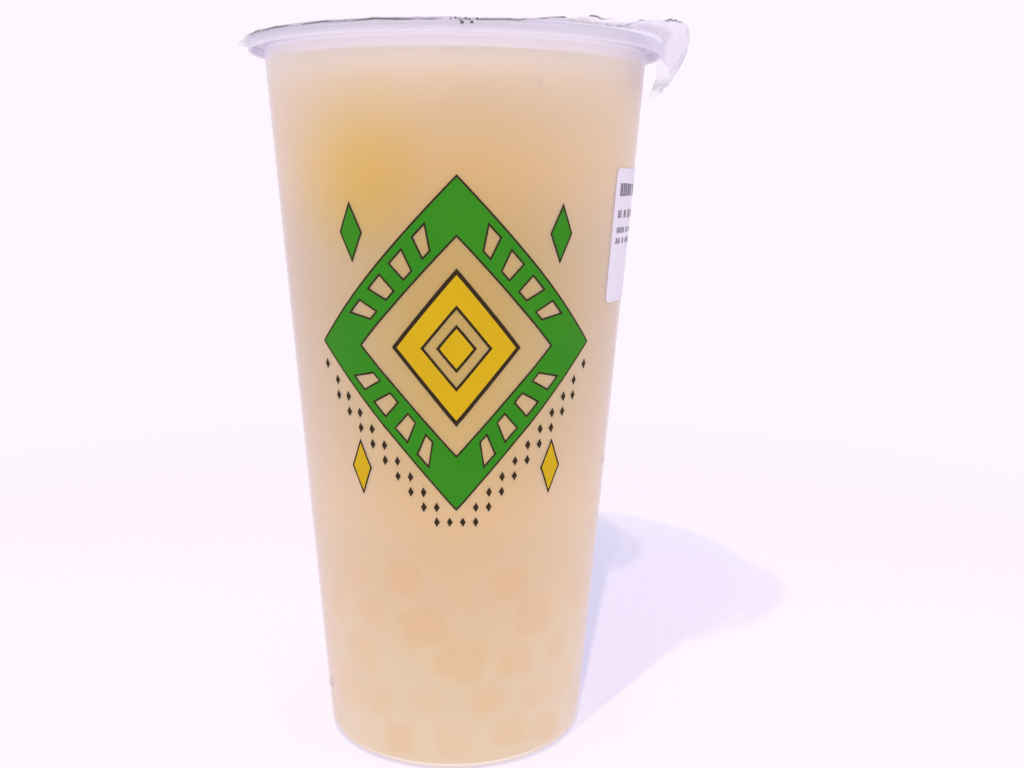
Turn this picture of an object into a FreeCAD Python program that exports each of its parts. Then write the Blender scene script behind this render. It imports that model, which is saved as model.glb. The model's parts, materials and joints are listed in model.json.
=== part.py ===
import FreeCAD
import Part
import Sketcher

import math
import os

from FreeCAD import Vector

# A takeaway cup of iced milk tea, sealed with a clear film, with a paper order label on its side.
# Millimetres. +Z is up, the cup's axis is Z, the table is at z = 0 and the front of the cup faces -Y.
#
# Four pieces:
#   cup           the moulded plastic cup: tapered wall, foot ring, raised base panel and sealing rim
#   milk_tea      the drink, which fills the cup up to its level
#   sealing_film  the film welded to the rim, with its trimmed edge and the corner that hangs down
#   order_label   the paper label that is wrapped round the right of the wall

SIZES = (
    ("CupHeight", 165.2, "table to the flat top of the rim"),
    ("RimRadius", 47.5, "outside of the rim"),
    ("LipDepth", 2.7, "how far the rim's lip hangs below its top"),
    ("LipThickness", 0.8, "wall of the lip"),
    ("RimThickness", 0.9, "the flat ring that the film is welded to"),
    ("RimRounding", 0.5, "rounding of the rim's top corners"),
    ("LipRounding", 0.3, "rounding of the lip's lower corners"),
    ("RimWidth", 3.5, "how far the rim stands out from the wall"),
    ("BaseRadius", 31.3, "outside of the wall, carried down to the table"),
    ("WallThickness", 0.6, "side wall"),
    ("FloorThickness", 1.2, "under the ring-shaped channel inside the foot"),
    ("PanelThickness", 0.8, "the base panel"),
    ("PanelRise", 2.5, "table to the underside of the base panel"),
    ("FootWidth", 4.2, "the foot ring, from the heel to its inner edge"),
    ("FootDraft", 0.7, "how much narrower the hollow under the base gets on its way up"),
    ("HeelRadius", 2.4, "rounding of the outer heel"),
    ("FootRounding", 0.5, "rounding of the foot ring's inner edge"),
    ("CornerRadius", 1.4, "rounding of the inner corner, wall to channel"),
    ("PanelRounding", 0.5, "rounding of the base panel's edge, inside"),
    ("GateRadius", 3.0, "the dimple under the base where the plastic was injected"),
    ("GateDepth", 0.3, "depth of that dimple"),
    ("Headspace", 5.4, "the rim's top to the surface of the drink"),
    ("TeaGap", 0.04, "between the drink and the plastic"),
    ("FilmThickness", 0.15, "the sealing film with its weld"),
    ("FilmGap", 0.02, "between the film and the rim"),
    ("WeldInset", 1.2, "the film lies flat up to this far inside the rim's edge"),
    ("TrimReach", 0.7, "the trimmed edge of the film beyond the rim"),
    ("TrimDrop", 0.5, "the trimmed edge of the film below the rim's top"),
    ("FlapAngle", -20.0, "the corner of the film that hangs down, degrees from +X"),
    ("FlapSpread", 34.0, "half the width of that corner, in degrees"),
    ("FlapReach", 9.4, "how far it stands out beyond the rim"),
    ("FlapLift", 9.3, "how high it rises before it turns down"),
    ("FlapDrop", 11.8, "how far its tip hangs below the rim's top"),
    ("FlapTuck", 11.8, "how far its tip turns back towards the wall"),
    ("FlareAngle", -50.0, "the part of the edge that curls up, degrees from +X"),
    ("FlareSpread", 34.0, "half its width, in degrees"),
    ("FlareReach", 2.6, "how far it stands out beyond the trimmed edge"),
    ("FlareLift", 1.5, "how high it curls up"),
    ("TabAngle", 180.0, "the small tab on the left, degrees from +X"),
    ("TabSpread", 12.0, "half its width, in degrees"),
    ("TabReach", 2.0, "how far it stands out beyond the trimmed edge"),
    ("LabelDrop", 27.8, "the rim's top to the label's upper edge"),
    ("LabelHeight", 30.0, "height of the label"),
    ("LabelWidth", 40.0, "width of the label, along the wall"),
    ("LabelAngle", -5.5, "the middle of the label, degrees from +X"),
    ("LabelThickness", 0.12, "the paper"),
    ("LabelGap", 0.03, "the glue between the paper and the plastic"),
    ("LabelRounding", 1.5, "the label's corners"),
)


class Size:
    """A length with the sheet formula that gives it, so that a sketch can be drawn and then bound to it."""

    def __init__(self, value, formula):
        self.value = value
        self.formula = formula

    def __add__(self, other):
        other = as_size(other)
        return Size(self.value + other.value, f"({self.formula} + {other.formula})")

    def __sub__(self, other):
        other = as_size(other)
        return Size(self.value - other.value, f"({self.formula} - {other.formula})")

    def __mul__(self, other):
        other = as_size(other)
        return Size(self.value * other.value, f"({self.formula} * {other.formula})")

    def __truediv__(self, other):
        other = as_size(other)
        return Size(self.value / other.value, f"({self.formula} / {other.formula})")


def as_size(value):
    return value if isinstance(value, Size) else Size(value, str(value))


def make_sheet(doc):
    """The driving dimensions as a sheet, one named cell each, and the same names as Size values."""
    sheet = doc.addObject("Spreadsheet::Sheet", "Sizes")
    for row, (name, value, meaning) in enumerate(SIZES, 1):
        sheet.set(f"A{row}", meaning)
        sheet.set(f"B{row}", str(value))
        sheet.setAlias(f"B{row}", name)
    doc.recompute()
    return {name: Size(float(sheet.get(name)), f"Sizes.{name}") for name, _, _ in SIZES}


def make_body(doc, label):
    body = doc.addObject("PartDesign::Body", label)
    body.Label = label
    return body


def origin_plane(body, role):
    return next(item for item in body.Origin.OriginFeatures if item.Role == role)


def draw_section(body, name, corners):
    """A closed outline on the body's XZ plane through the corners, each (distance from the axis, height)."""
    sketch = body.newObject("Sketcher::SketchObject", name)
    sketch.AttachmentSupport = (origin_plane(body, "XZ_Plane"), "")
    sketch.MapMode = "FlatFace"
    spots = [Vector(across.value, up.value, 0) for across, up in corners]
    lines = [Part.LineSegment(a, b) for a, b in zip(spots, spots[1:] + spots[:1])]
    sketch.addGeometry(lines, False)
    for i in range(len(lines)):
        sketch.addConstraint(Sketcher.Constraint("Coincident", i - 1 if i else len(lines) - 1, 2, i, 1))
    for i, (across, up) in enumerate(corners):
        if across.value == 0:
            sketch.addConstraint(Sketcher.Constraint("PointOnObject", i, 1, -2))
        else:
            bind(sketch, "DistanceX", i, across)
        if up.value == 0:
            sketch.addConstraint(Sketcher.Constraint("PointOnObject", i, 1, -1))
        else:
            bind(sketch, "DistanceY", i, up)
    return sketch


def bind(sketch, kind, line, size):
    """Holds the start of a line at a distance from the sketch's origin, and ties it to the sheet."""
    number = sketch.addConstraint(Sketcher.Constraint(kind, -1, 1, line, 1, size.value))
    sketch.setExpression(f"Constraints[{number}]", size.formula)


def turn(body, kind, name, sketch):
    """Adds the section turned about the axis with a Revolution, or cuts it away with a Groove."""
    turned = body.newObject(f"PartDesign::{kind}", name)
    turned.Profile = sketch
    turned.ReferenceAxis = (sketch, ["V_Axis"])
    turned.Angle = 360
    body.Document.recompute()
    return turned


def ring_edges(shape, across, up):
    """The names of the round edges at this distance from the axis and this height."""
    found = []
    for number, edge in enumerate(shape.Edges, 1):
        if isinstance(edge.Curve, Part.Circle):
            near = abs(edge.Curve.Radius - across.value) < 0.01
            level = abs(edge.Curve.Center.z - up.value) < 0.01
            if near and level:
                found.append(f"Edge{number}")
    return found


def round_off(body, name, rings, radius):
    """A fillet on the round edges at the corners given, tied to the sheet."""
    base = body.Tip
    names = [edge for ring in rings for edge in ring_edges(base.Shape, *ring)]
    if len(names) != len(rings):
        raise ValueError(f"{name}: {len(rings)} corners, but {len(names)} edges")
    fillet = body.newObject("PartDesign::Fillet", name)
    fillet.Base = (base, names)
    fillet.setExpression("Radius", radius.formula)
    body.Document.recompute()
    return fillet


def wall_radius(size, height):
    """The outside of the tapered wall at a height."""
    widening = size["RimRadius"] - size["RimWidth"] - size["BaseRadius"]
    return size["BaseRadius"] + widening * height / size["CupHeight"]


def inside_corners(size, gap):
    """The corners of the cup's inside, drawn in by a gap: wall, channel, and edge of the base panel."""
    wall = size["WallThickness"] + gap
    floor = size["FloorThickness"] + gap
    panel = size["PanelRise"] + size["PanelThickness"] + gap
    hollow = size["BaseRadius"] - size["FootWidth"]
    channel = hollow + size["PanelThickness"] + gap
    return {
        "heel": (wall_radius(size, floor) - wall, floor),
        "channel": (channel, floor),
        "panel": (channel - size["FootDraft"], panel),
        "centre": (as_size(0), panel),
    }


def make_cup(doc, size):
    body = make_body(doc, "cup")
    top = size["CupHeight"]
    lip_low = top - size["LipDepth"]
    lip_inside = size["RimRadius"] - size["LipThickness"]
    under_rim = top - size["RimThickness"]
    hollow = size["BaseRadius"] - size["FootWidth"]
    hollow_top = hollow - size["FootDraft"]
    rise = size["PanelRise"]
    gate = rise + size["GateDepth"]
    inside = inside_corners(size, as_size(0))
    mouth = (wall_radius(size, top) - size["WallThickness"], top)
    lip_outer_low = (size["RimRadius"], lip_low)
    lip_inner_low = (lip_inside, lip_low)
    rim_corner = (size["RimRadius"], top)
    heel = (size["BaseRadius"], as_size(0))
    foot = (hollow, as_size(0))
    section = draw_section(
        body,
        "cup_section",
        [
            (as_size(0), gate),
            (size["GateRadius"], gate),
            (size["GateRadius"], rise),
            (hollow_top, rise),
            foot,
            heel,
            (wall_radius(size, under_rim), under_rim),
            (lip_inside, under_rim),
            lip_inner_low,
            lip_outer_low,
            rim_corner,
            mouth,
            inside["heel"],
            inside["channel"],
            inside["panel"],
            inside["centre"],
        ],
    )
    turn(body, "Revolution", "cup_wall", section)
    round_off(body, "heel_rounding", [heel], size["HeelRadius"])
    round_off(body, "foot_rounding", [foot], size["FootRounding"])
    round_off(body, "corner_rounding", [inside["heel"]], size["CornerRadius"])
    panel_edges = [inside["channel"], inside["panel"]]
    round_off(body, "panel_rounding", panel_edges, size["PanelRounding"])
    round_off(body, "rim_rounding", [rim_corner, mouth], size["RimRounding"])
    round_off(body, "lip_rounding", [lip_outer_low, lip_inner_low], size["LipRounding"])
    return body


def make_tea(doc, size):
    """The drink keeps the shape of the cup's inside, so it follows the same corners a small gap away."""
    body = make_body(doc, "milk_tea")
    gap = size["TeaGap"]
    level = size["CupHeight"] - size["Headspace"]
    inside = inside_corners(size, gap)
    edge = wall_radius(size, level) - size["WallThickness"] - gap
    section = draw_section(
        body,
        "tea_section",
        [
            inside["centre"],
            inside["panel"],
            inside["channel"],
            inside["heel"],
            (edge, level),
            (as_size(0), level),
        ],
    )
    turn(body, "Revolution", "tea_filling", section)
    round_off(body, "corner_rounding", [inside["heel"]], size["CornerRadius"])
    round_off(body, "channel_rounding", [inside["channel"]], size["PanelRounding"] - gap)
    round_off(body, "panel_rounding", [inside["panel"]], size["PanelRounding"] + gap)
    return body


def make_label(doc, size):
    """A block with round corners, trimmed inside and outside to a thin sheet that follows the wall."""
    body = make_body(doc, "order_label")
    spare = 1
    high = size["CupHeight"] - size["LabelDrop"]
    low = high - size["LabelHeight"]
    below = low - spare
    above = high + spare
    back = size["LabelGap"]
    front = back + size["LabelThickness"]
    near = size["BaseRadius"] / 2
    far = wall_radius(size, above) + front + spare

    block = body.newObject("PartDesign::Pad", "label_block")
    block.Profile = draw_section(
        body, "block_section", [(near, low), (far, low), (far, high), (near, high)]
    )
    block.SideType = "Symmetric"
    middle = wall_radius(size, low + size["LabelHeight"] / 2)
    width = size["LabelWidth"]
    across = width - width * width * width / (middle * middle * 24)
    block.setExpression("Length", across.formula)
    doc.recompute()

    radial = [
        f"Edge{number}"
        for number, edge in enumerate(block.Shape.Edges, 1)
        if abs(edge.tangentAt(edge.FirstParameter).x) > 0.99
    ]
    corners = body.newObject("PartDesign::Fillet", "label_corners")
    corners.Base = (block, radial)
    corners.setExpression("Radius", size["LabelRounding"].formula)

    inside = draw_section(
        body,
        "inside_section",
        [
            (as_size(0), below),
            (wall_radius(size, below) + back, below),
            (wall_radius(size, above) + back, above),
            (as_size(0), above),
        ],
    )
    turn(body, "Groove", "trim_inside", inside)
    outside = draw_section(
        body,
        "outside_section",
        [
            (wall_radius(size, below) + front, below),
            (far * 2, below),
            (far * 2, above),
            (wall_radius(size, above) + front, above),
        ],
    )
    turn(body, "Groove", "trim_outside", outside)
    body.setExpression(".Placement.Rotation.Angle", size["LabelAngle"].formula)
    doc.recompute()
    return body


def bump(angle, centre, spread):
    """1 at the centre, falling smoothly to 0 at the spread on either side. Degrees."""
    away = abs((angle - centre + 180) % 360 - 180)
    if away >= spread:
        return 0.0
    return math.cos(math.pi / 2 * away / spread) ** 2


def film_line(size, angle):
    """Four guide points of the film's loose edge at one angle, each (distance from the axis, height)."""
    value = {name: item.value for name, item in size.items()}
    rim = value["RimRadius"]
    low = value["CupHeight"] + value["FilmGap"]
    flap = bump(angle, value["FlapAngle"], value["FlapSpread"])
    flare = bump(angle, value["FlareAngle"], value["FlareSpread"])
    tab = bump(angle, value["TabAngle"], value["TabSpread"])
    reach = flare * value["FlareReach"] + tab * value["TabReach"] + flap * value["FlapReach"]
    lift = flare * value["FlareLift"]
    return (
        (rim - value["WeldInset"], low),
        (rim + 0.4 + 0.8 * reach, low + flap * value["FlapLift"] + 0.5 * lift),
        (rim + 0.6 + reach, low + lift - 0.1 * flap * value["FlapDrop"]),
        (
            rim + value["TrimReach"] + reach - flap**2 * value["FlapTuck"],
            low + lift * (1 - flap) - value["TrimDrop"] * (1 - flare) - flap * value["FlapDrop"],
        ),
    )


def set_off(guides, distance):
    """The guide points moved square to the line that they steer; the first one straight up."""
    moved = []
    for i, (across, up) in enumerate(guides):
        before = guides[max(i - 1, 0)]
        after = guides[min(i + 1, len(guides) - 1)]
        along = after[0] - before[0] if i else 1
        climb = after[1] - before[1] if i else 0
        length = math.hypot(along, climb)
        moved.append((across - climb / length * distance, up + along / length * distance))
    return moved


def edge_patches(size, offset):
    """The loose edge of the film, steered by guide points all the way round and cut into equal patches.

    A round curve runs a little inside its guide points, so they stand out by the spread.
    """
    around = 40
    patches = 8
    degree = 3
    step = 360 / around
    spread = 3 / (2 + math.cos(math.radians(step)))
    net = []
    for i in range(around):
        angle = math.radians(step * i)
        across = Vector(math.cos(angle), math.sin(angle), 0) * spread
        line = set_off(film_line(size, step * i), offset)
        net.append([across * r + Vector(0, 0, z) for r, z in line])
    surface = Part.BSplineSurface()
    surface.buildFromPolesMultsKnots(
        net,
        [1] * (around + 1),
        [degree + 1] * 2,
        range(around + 1),
        [0, 1],
        True,
        False,
        degree,
        degree,
    )
    cuts = range(0, around + 1, around // patches)
    pieces = []
    for first, last in zip(cuts, cuts[1:]):
        piece = surface.copy()
        piece.segment(first, last, 0, 1)
        pieces.append(piece)
    return pieces


def weld_disc(patches):
    """The flat face inside the patches' inner edges."""
    edges = [patch.vIso(0).toShape() for patch in patches]
    return Part.Face(Part.Wire(edges))


def make_film(doc, size):
    """A flat disc that goes over into the loose edge, closed by a strip one film's thickness wide."""
    upper = edge_patches(size, size["FilmThickness"].value)
    lower = edge_patches(size, 0.0)
    trim = [
        Part.makeRuledSurface(above.vIso(1).toShape(), below.vIso(1).toShape())
        for above, below in zip(upper, lower)
    ]
    loose = [patch.toShape() for patch in upper + lower]
    faces = loose + trim + [weld_disc(upper), weld_disc(lower)]
    shell = Part.makeShell([face for shape in faces for face in shape.Faces])
    shell.sewShape()
    film = doc.addObject("Part::Feature", "sealing_film")
    film.Label = "sealing_film"
    film.Shape = Part.makeSolid(shell)
    return film


def check(doc, pieces):
    doc.recompute()
    for item in doc.Objects:
        if "Invalid" in item.State or "Error" in item.State:
            raise RuntimeError(f"{item.Name} failed: {item.State}")
    for piece in pieces:
        shape = piece.Shape
        if shape.isNull() or not shape.isValid() or len(shape.Solids) != 1:
            raise RuntimeError(f"{piece.Label} is not one valid solid")


def main():
    doc = FreeCAD.newDocument("SealedTeaCup")
    size = make_sheet(doc)
    pieces = [
        make_cup(doc, size),
        make_tea(doc, size),
        make_film(doc, size),
        make_label(doc, size),
    ]
    check(doc, pieces)
    os.makedirs("parts", exist_ok=True)
    for piece in pieces:
        piece.Shape.exportStep(f"parts/{piece.Label}.step")
        box = piece.Shape.BoundBox
        print(
            f"{piece.Label}: {piece.Shape.Volume:.0f} mm3, "
            f"x {box.XMin:.2f} to {box.XMax:.2f}, y {box.YMin:.2f} to {box.YMax:.2f}, "
            f"z {box.ZMin:.2f} to {box.ZMax:.2f}"
        )


main()
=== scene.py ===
# %% [markdown]
# A sealed cup of iced milk tea
#
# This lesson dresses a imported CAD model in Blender. The model is a tall plastic takeaway cup, filled
# with milk tea and closed with a clear film that is welded to its rim. The CAD gives the true sizes.
# Blender gives what the eye looks for: a smooth milky wall, the soft colour of the drink, jelly cubes
# that show through it, a crinkled film, a print, an order label and a few drops of water.
#
# Everything is in metres. +Z is up, the cup's axis is Z, it stands on z = 0 and its printed front
# faces -Y.

import json
import math
import random

import bmesh
import bpy
from mathutils import Matrix, Vector

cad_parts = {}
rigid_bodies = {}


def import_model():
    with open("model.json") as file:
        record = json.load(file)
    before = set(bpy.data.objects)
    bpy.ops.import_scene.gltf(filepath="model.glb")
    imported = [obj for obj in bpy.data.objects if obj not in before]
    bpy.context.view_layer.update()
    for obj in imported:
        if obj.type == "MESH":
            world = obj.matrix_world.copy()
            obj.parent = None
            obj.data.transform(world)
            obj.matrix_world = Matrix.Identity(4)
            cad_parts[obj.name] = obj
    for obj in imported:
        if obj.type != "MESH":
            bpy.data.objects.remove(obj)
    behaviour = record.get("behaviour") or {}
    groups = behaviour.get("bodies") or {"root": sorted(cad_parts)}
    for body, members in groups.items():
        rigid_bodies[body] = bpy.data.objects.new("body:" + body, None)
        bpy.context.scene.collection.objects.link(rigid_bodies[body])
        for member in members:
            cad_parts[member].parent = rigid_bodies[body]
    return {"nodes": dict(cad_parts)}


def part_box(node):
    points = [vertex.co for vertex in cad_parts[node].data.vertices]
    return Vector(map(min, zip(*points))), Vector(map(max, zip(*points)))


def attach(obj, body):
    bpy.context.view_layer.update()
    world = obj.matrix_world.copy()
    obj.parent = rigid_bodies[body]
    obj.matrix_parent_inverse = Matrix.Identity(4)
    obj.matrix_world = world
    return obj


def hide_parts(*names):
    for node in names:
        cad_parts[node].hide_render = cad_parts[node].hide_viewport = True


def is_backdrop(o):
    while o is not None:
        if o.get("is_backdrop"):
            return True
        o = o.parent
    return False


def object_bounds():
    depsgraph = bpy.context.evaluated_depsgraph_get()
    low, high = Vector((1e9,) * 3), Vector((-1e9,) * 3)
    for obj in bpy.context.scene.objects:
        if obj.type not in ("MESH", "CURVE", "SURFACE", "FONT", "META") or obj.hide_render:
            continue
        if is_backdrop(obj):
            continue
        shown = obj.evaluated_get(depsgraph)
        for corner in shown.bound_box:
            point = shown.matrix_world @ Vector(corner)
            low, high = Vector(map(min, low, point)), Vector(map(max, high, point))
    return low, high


bpy.ops.object.select_all(action="SELECT")
bpy.ops.object.delete()
bpy.context.scene.view_settings.view_transform = "Standard"
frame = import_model()
cad_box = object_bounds()
print("nodes:", sorted(frame["nodes"]))
print("CAD box:", [tuple(round(value, 4) for value in corner) for corner in cad_box])

# %% [markdown]
# Sizes that the pieces share
#
# The outside of the cup is read from the CAD node. The inner sizes, such as the wall and the foot
# ring, can't be read from a box, so they are the same lengths as in the part's drawing.

# %% Sizes
mm = 0.001
CUP_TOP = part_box("cup")[1].z
RIM_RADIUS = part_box("cup")[1].x
TEA_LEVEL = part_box("milk_tea")[1].z
LABEL_LOW, LABEL_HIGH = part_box("order_label")[0].z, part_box("order_label")[1].z

RIM_WIDTH = 3.5 * mm
LIP_DEPTH = 2.7 * mm
LIP_THICKNESS = 0.8 * mm
RIM_THICKNESS = 0.9 * mm
BASE_RADIUS = 31.3 * mm
WALL = 0.6 * mm
FLOOR = 1.2 * mm
PANEL_RISE = 2.5 * mm
PANEL = 0.8 * mm
FOOT_RADIUS = 27.1 * mm
PANEL_RADIUS = 26.4 * mm
GATE_RADIUS = 3.0 * mm
GATE_DEPTH = 0.3 * mm
HEEL_ROUNDING = 2.4 * mm
CORNER_ROUNDING = 1.4 * mm
EDGE_ROUNDING = 0.5 * mm
LIP_ROUNDING = 0.3 * mm


def wall_at(height):
    """The outside radius of the tapered wall at a height."""
    return BASE_RADIUS + (RIM_RADIUS - RIM_WIDTH - BASE_RADIUS) * height / CUP_TOP


print(f"cup {CUP_TOP / mm:.1f} mm high, rim radius {RIM_RADIUS / mm:.1f} mm")
print(f"tea up to {TEA_LEVEL / mm:.1f} mm")

# %% [markdown]
# Helpers for modelling
#
# An operator acts on all that is selected, so each piece begins by letting go of everything else.
# A cup is a turned shape. By hand it is drawn ring by ring: a circle is added, extruded, scaled and
# lifted, and so on up the wall. `pull_ring` is that one move.

# %% Helpers for modelling
def let_go():
    """Leaves edit mode and deselects everything."""
    if bpy.context.mode != "OBJECT":
        bpy.ops.object.mode_set(mode="OBJECT")
    bpy.ops.object.select_all(action="DESELECT")


def take(piece):
    """Makes one piece the only selected and active one."""
    let_go()
    piece.select_set(True)
    bpy.context.view_layer.objects.active = piece


def settle(piece):
    """Puts the place of a piece into its mesh, so that its object sits at the origin."""
    take(piece)
    bpy.ops.object.transform_apply(location=True, rotation=True, scale=True)


def first_ring(name, radius, height, around):
    """Adds a circle and leaves it selected in edit mode."""
    let_go()
    bpy.ops.mesh.primitive_circle_add(vertices=around, radius=radius, location=(0, 0, height))
    piece = bpy.context.object
    piece.name = name
    settle(piece)
    bpy.ops.object.mode_set(mode="EDIT")
    bpy.ops.mesh.select_mode(type="EDGE")
    bpy.ops.mesh.select_all(action="SELECT")
    return piece


def pull_ring(start, end):
    """Extrudes the selected ring from one (radius, height) to the next."""
    bpy.ops.mesh.extrude_edges_indiv()
    bpy.ops.transform.translate(value=(0, 0, end[1] - start[1]))
    scale = end[0] / start[0]
    bpy.ops.transform.resize(value=(scale, scale, 1), center_override=(0, 0, end[1]))


def pull_rings(corners):
    for start, end in zip(corners, corners[1:]):
        pull_ring(start, end)


def pick(piece, parts, wanted):
    """Selects those edges or faces of a piece in edit mode that pass a test."""
    mesh = bmesh.from_edit_mesh(piece.data)
    for part in getattr(mesh, parts):
        part.select = wanted(part)
    bmesh.update_edit_mesh(piece.data)


def pick_ring(piece, corner):
    """Selects the round of edges at one (radius, height)."""
    def near(vert):
        away = max(abs(vert.co.xy.length - corner[0]), abs(vert.co.z - corner[1]))
        return away < 0.02 * mm

    pick(piece, "edges", lambda edge: all(near(vert) for vert in edge.verts))


def round_ring(piece, corner, radius, turn=90, segments=4):
    """Bevels the round of edges at a corner to a radius. Turn is how far the outline turns there."""
    pick_ring(piece, corner)
    offset = radius * math.tan(math.radians(turn / 2))
    bpy.ops.mesh.bevel(offset=offset, offset_type="OFFSET", segments=segments, affect="EDGES")


def close_up(piece, smooth=35):
    """Merges doubles, turns the faces outwards and smooths the shading below an angle."""
    bpy.ops.mesh.select_all(action="SELECT")
    bpy.ops.mesh.remove_doubles(threshold=0.001 * mm)
    bpy.ops.mesh.normals_make_consistent(inside=False)
    let_go()
    settle(piece)
    bpy.ops.object.shade_smooth_by_angle(angle=math.radians(smooth))
    return piece


def tell(piece):
    """Prints the size of a finished piece and whether its mesh is closed."""
    mesh = bmesh.new()
    mesh.from_mesh(piece.data)
    opens = sum(not edge.is_manifold for edge in mesh.edges)
    volume = mesh.calc_volume(signed=True) if not opens else 0
    mesh.free()
    size = " x ".join(f"{side / mm:.2f}" for side in piece.dimensions)
    faces = len(piece.data.polygons)
    print(f"{piece.name}: {size} mm, {faces} faces, {opens} open edges, {volume / mm**3:.0f} mm3")


# %% [markdown]
# Camera
#
# The camera looks a little down on the cup from close by, which is what makes the wall taper more
# strongly in the picture than it does in the hand. Its place and lens belong together: further away
# with a longer lens, the rim would look flatter.

# %% Camera
EYE = Vector((0, -272.4, 134.3)) * mm
LENS = 39.66
PAN = 0.0500
TILT_DOWN = 0.1777
ROLL = 0.0098

let_go()
bpy.ops.object.camera_add()
camera = bpy.context.object
camera.name = "camera"
camera.data.lens = LENS
camera.data.sensor_width = 36
camera.data.clip_start = 0.01
camera.matrix_world = (
    Matrix.Translation(EYE)
    @ Matrix.Rotation(-PAN, 4, "Z")
    @ Matrix.Rotation(math.pi / 2 - TILT_DOWN, 4, "X")
    @ Matrix.Rotation(ROLL, 4, "Z")
)
bpy.context.scene.camera = camera
print("camera at", tuple(round(value, 3) for value in EYE), "with a", LENS, "mm lens")

# %% [markdown]
# Nodes
#
# A finish is a tree of nodes, and so is the world. A few kinds of node come up again and again, so each
# has a short helper. It takes sockets or plain values alike, adds its node and gives back a socket,
# and a finish then reads as a recipe.

# %% Helpers for nodes
def put(tree, value, socket):
    """Gives a socket its value: a link from another socket, or a plain value."""
    if isinstance(value, bpy.types.NodeSocket):
        tree.links.new(value, socket)
    else:
        socket.default_value = value


def node(tree, kind, **settings):
    """Adds a node. A setting that is one of its sockets is linked or set, as `put` does."""
    made = tree.nodes.new(f"ShaderNode{kind}")
    for name, value in settings.items():
        socket = made.inputs.get(name.replace("_", " "))
        if socket is None:
            setattr(made, name, value)
        else:
            put(tree, value, socket)
    return made


def empty_tree(holder):
    """The node tree of a material or a world, cleared."""
    holder.use_nodes = True
    holder.node_tree.nodes.clear()
    return holder.node_tree


def maths(tree, operation, first, second):
    """One operation on two numbers."""
    made = node(tree, "Math", operation=operation)
    put(tree, first, made.inputs[0])
    put(tree, second, made.inputs[1])
    return made.outputs[0]


def rescale(tree, value, low, high, to_low=0.0, to_high=1.0, **more):
    """Maps low to high onto another range, and holds what lies outside to its ends."""
    made = node(tree, "MapRange", Value=value, From_Min=low, From_Max=high, **more)
    made.inputs["To Min"].default_value = to_low
    made.inputs["To Max"].default_value = to_high
    return made.outputs["Result"]


def mix_shaders(tree, share, first, second):
    """One shader where the share is 0, and another where it is 1."""
    made = node(tree, "MixShader", Fac=share)
    put(tree, first.outputs[0], made.inputs[1])
    put(tree, second.outputs[0], made.inputs[2])
    return made


def place_on_object(tree):
    return node(tree, "TexCoord").outputs["Object"]


def length_of(tree, vector):
    return node(tree, "VectorMath", operation="LENGTH", Vector=vector).outputs["Value"]


# %% [markdown]
# Floor and world
#
# The cup stands on a pale floor that runs into a pale background without an edge. The world gives an
# even soft light. For rays that come straight from the camera, or by way of glass and gloss, it shows
# the background colour instead. The floor does the same: near the cup it is partly lit and partly
# glows, so it stays pale and still takes the shadow, and further off it fades into the background. The
# light it throws back on the cup is even.

# %% Floor and world
PALE = (1.0, 0.925, 1.0, 1.0)
EVEN_LIGHT = (1.0, 0.97, 1.0, 1.0)


def seen_directly(tree):
    """1 for camera, glossy and transmission rays, and 0 for all others."""
    path = node(tree, "LightPath")
    either = maths(tree, "MAXIMUM", path.outputs["Is Camera Ray"], path.outputs["Is Glossy Ray"])
    return maths(tree, "MAXIMUM", either, path.outputs["Is Transmission Ray"])


studio = bpy.data.worlds.new("studio")
bpy.context.scene.world = studio
tree = empty_tree(studio)
soft_light = node(tree, "Background", Color=EVEN_LIGHT, Strength=0.90)
backdrop = node(tree, "Background", Color=PALE, Strength=1.0)
around_the_cup = mix_shaders(tree, seen_directly(tree), soft_light, backdrop)
node(tree, "OutputWorld", Surface=around_the_cup.outputs[0])

let_go()
bpy.ops.mesh.primitive_circle_add(vertices=96, radius=8.0, fill_type="NGON")
floor = bpy.context.object
floor.name = "floor"
floor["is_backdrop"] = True
print("floor radius", floor.dimensions.x / 2, "m")

# %% Finish the floor
OWN_LIGHT = (0.185, 0.320, 0.60, 1.0)
TAKES_SHADOW = (0.60, 0.42, 0.34, 1.0)
NEAR, FAR = 0.12, 0.42
FOOT_PRINT, FOOT_CLEAR, FOOT_SHARE = 0.030, 0.042, 0.3

floor_finish = bpy.data.materials.new("pale_floor")
tree = empty_tree(floor_finish)
shaded = node(tree, "BsdfDiffuse", Color=TAKES_SHADOW)
glow = node(tree, "Emission", Color=OWN_LIGHT)
close_by = node(tree, "AddShader")
for number, part in enumerate((shaded, glow)):
    tree.links.new(part.outputs[0], close_by.inputs[number])
far_off = node(tree, "Emission", Color=PALE)
from_cup = length_of(tree, place_on_object(tree))
with_distance = rescale(tree, from_cup, NEAR, FAR, interpolation_type="SMOOTHSTEP")
# Right round the foot the floor glows more: painted light that washes out the shade where the cup
# stands.
foot_painted_light = rescale(tree, from_cup, FOOT_CLEAR, FOOT_PRINT, to_high=FOOT_SHARE)
plain = maths(tree, "MAXIMUM", with_distance, foot_painted_light)
direct = mix_shaders(tree, plain, close_by, far_off)
bounce = node(tree, "Emission", Color=EVEN_LIGHT, Strength=1.10)
by_ray = mix_shaders(tree, seen_directly(tree), bounce, direct)
node(tree, "OutputMaterial", Surface=by_ray.outputs[0])
floor.data.materials.append(floor_finish)

# %% [markdown]
# Lamps
#
# One small lamp hangs close above the front of the cup, a little to the left. It throws a wide shadow
# on the floor, back and to the right. Its falloff is constant, so the floor is as bright right under
# it as further off. A second small lamp hangs further forward, as high as a ceiling lamp, and throws a
# narrower shadow inside the first. Both would draw a hard arc of shadow under the rim too, so light
# linking lets them light the floor only. A wide soft box in the same place lights the cup instead.
# The world does the rest, evenly.

# %% Lamps
AIM = Vector((0, 0, 0.06))


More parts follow.
